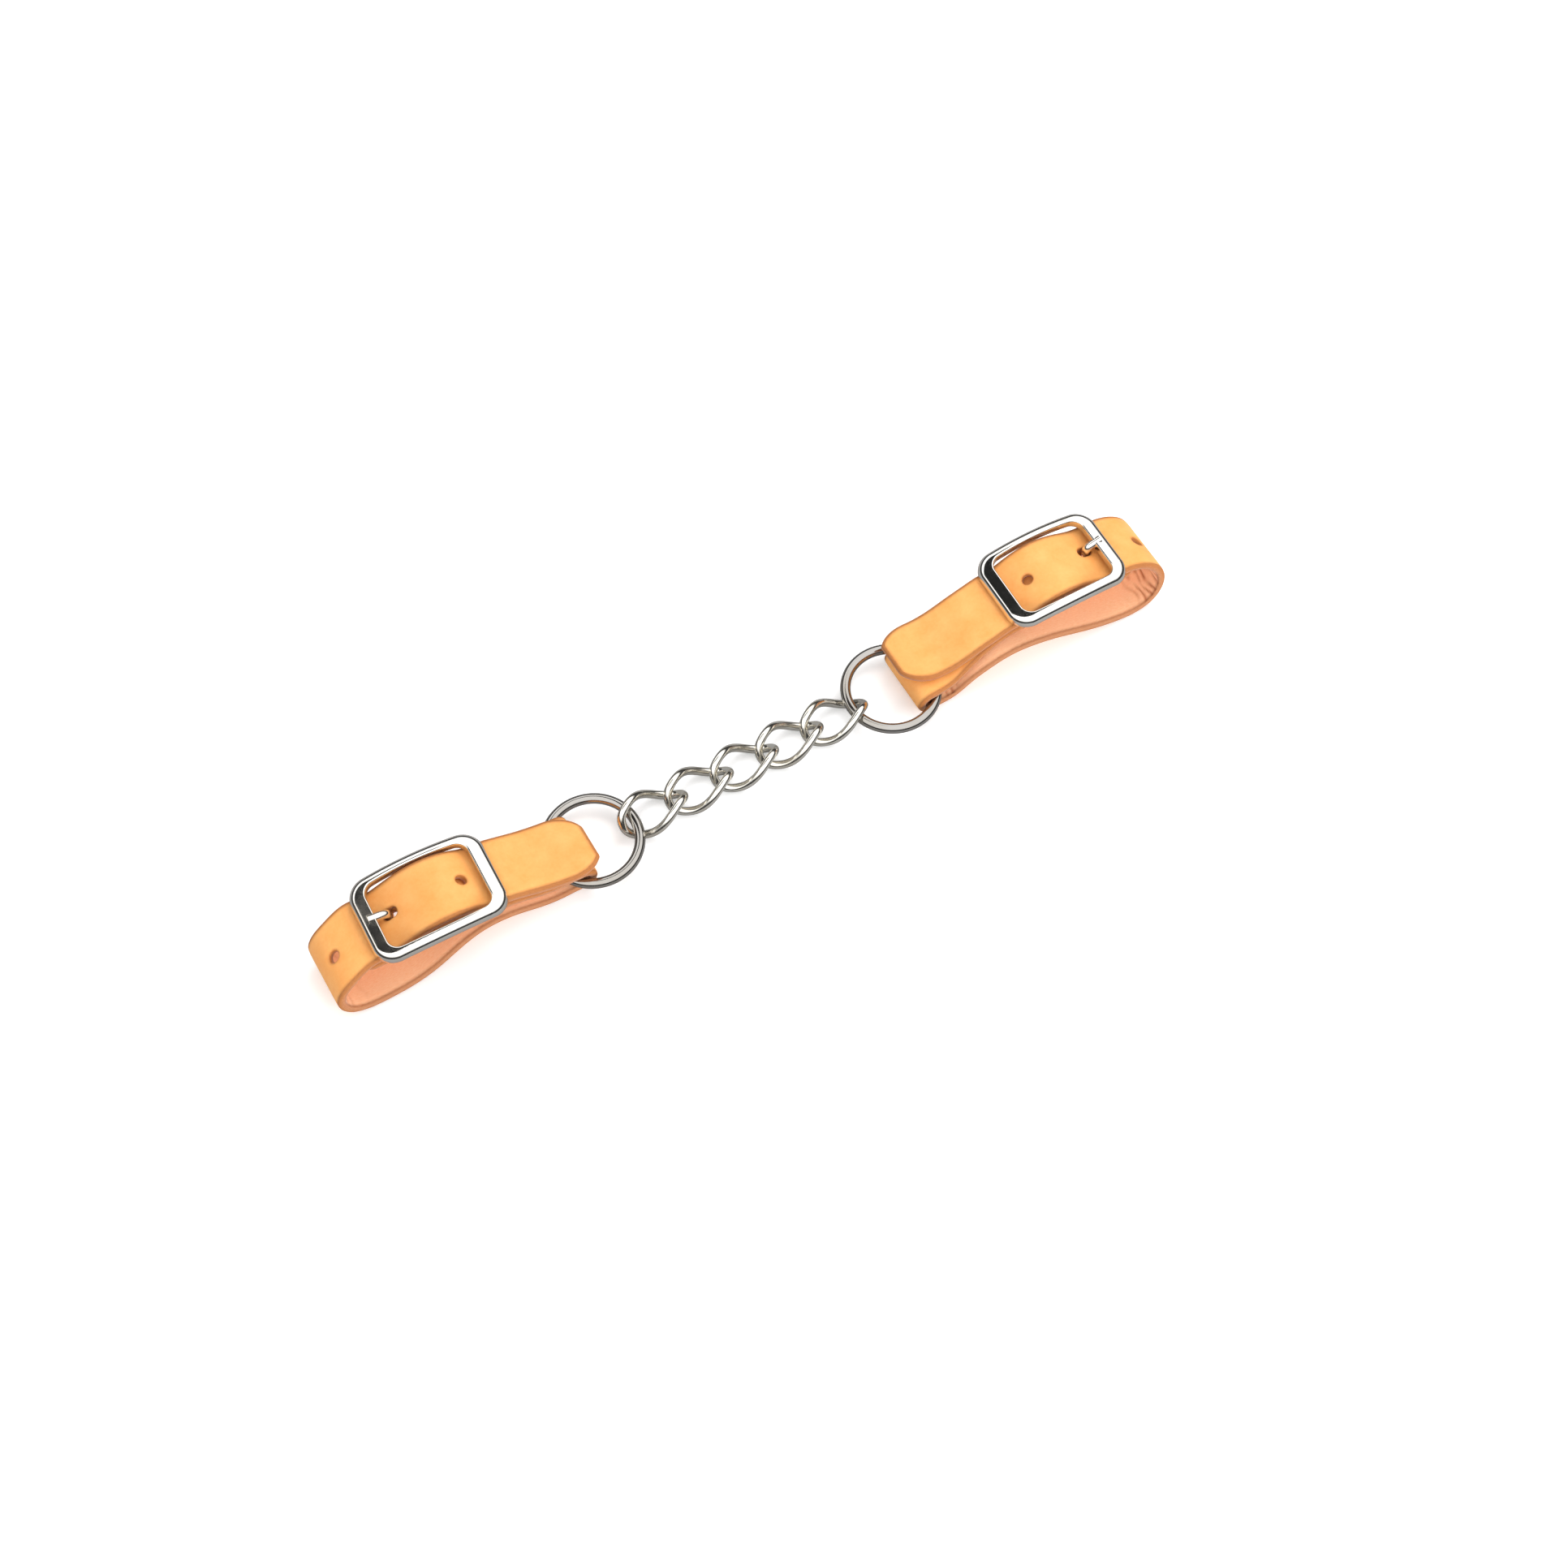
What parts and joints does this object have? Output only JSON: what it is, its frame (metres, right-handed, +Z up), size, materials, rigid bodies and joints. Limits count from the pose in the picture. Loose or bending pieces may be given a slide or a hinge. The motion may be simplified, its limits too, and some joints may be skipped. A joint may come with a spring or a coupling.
{
  "type": "curb chain with leather ends",
  "caption": "Curb strap for a bridle: a short twisted chain between two rings, each holding a folded leather strap looped through a one-piece buckle with a fixed prong.",
  "frame": {"origin": "under the middle of the middle chain link, on the surface the piece lies on", "axes": "+X along the chain towards the right strap, +Y across the straps, +Z up from the surface, with the buckles on the upper side"},
  "size_m": [0.2555, 0.0308, 0.0205],
  "materials": {
    "nickel_chain": "polished nickel plate on steel wire",
    "nickel_ring": "polished nickel plate on steel wire",
    "nickel_buckle": "polished nickel plate on a cast frame",
    "leather": "oiled natural russet strap leather, smooth grain, darker edges"
  },
  "bodies": {
    "link_3": {"link_3": "nickel_chain"},
    "link_2": {"link_2": "nickel_chain"},
    "link_1": {"link_1": "nickel_chain"},
    "left_ring": {"left_ring": "nickel_ring"},
    "left_strap": {"left_strap": "leather"},
    "left_buckle": {"left_buckle": "nickel_buckle"},
    "link_4": {"link_4": "nickel_chain"},
    "link_5": {"link_5": "nickel_chain"},
    "right_ring": {"right_ring": "nickel_ring"},
    "right_strap": {"right_strap": "leather"},
    "right_buckle": {"right_buckle": "nickel_buckle"}
  },
  "joints": [
    {"name": "link_3_to_link_2", "type": "hinge", "parent": "link_3", "child": "link_2", "pos_m": [-0.00702, 0, 0.00412], "axis": [0, 1, 0], "range_deg": [-45, 45]},
    {"name": "link_2_to_link_1", "type": "hinge", "parent": "link_2", "child": "link_1", "pos_m": [-0.02106, 0, 0.00412], "axis": [0, 1, 0], "range_deg": [-45, 45]},
    {"name": "link_1_to_left_ring", "type": "hinge", "parent": "link_1", "child": "left_ring", "pos_m": [-0.03405, 0, 0.00412], "axis": [0, 1, 0], "range_deg": [-35, 35]},
    {"name": "left_strap_round_ring", "type": "hinge", "parent": "left_ring", "child": "left_strap", "pos_m": [-0.0463, 0, 0.00412], "axis": [0, 0, 1], "range_deg": [-50, 50]},
    {"name": "left_buckle_lift", "type": "slide", "parent": "left_strap", "child": "left_buckle", "axis": [0, 0, 1], "range_m": [0, 0.014]},
    {"name": "link_3_to_link_4", "type": "hinge", "parent": "link_3", "child": "link_4", "pos_m": [0.00702, 0, 0.00412], "axis": [0, 1, 0], "range_deg": [-45, 45]},
    {"name": "link_4_to_link_5", "type": "hinge", "parent": "link_4", "child": "link_5", "pos_m": [0.02106, 0, 0.00412], "axis": [0, 1, 0], "range_deg": [-45, 45]},
    {"name": "link_5_to_right_ring", "type": "hinge", "parent": "link_5", "child": "right_ring", "pos_m": [0.03425, 0, 0.00412], "axis": [0, 1, 0], "range_deg": [-35, 35]},
    {"name": "right_strap_round_ring", "type": "hinge", "parent": "right_ring", "child": "right_strap", "pos_m": [0.0465, 0, 0.00412], "axis": [0, 0, 1], "range_deg": [-50, 50]},
    {"name": "right_buckle_lift", "type": "slide", "parent": "right_strap", "child": "right_buckle", "axis": [0, 0, 1], "range_m": [0, 0.014]}
  ]
}
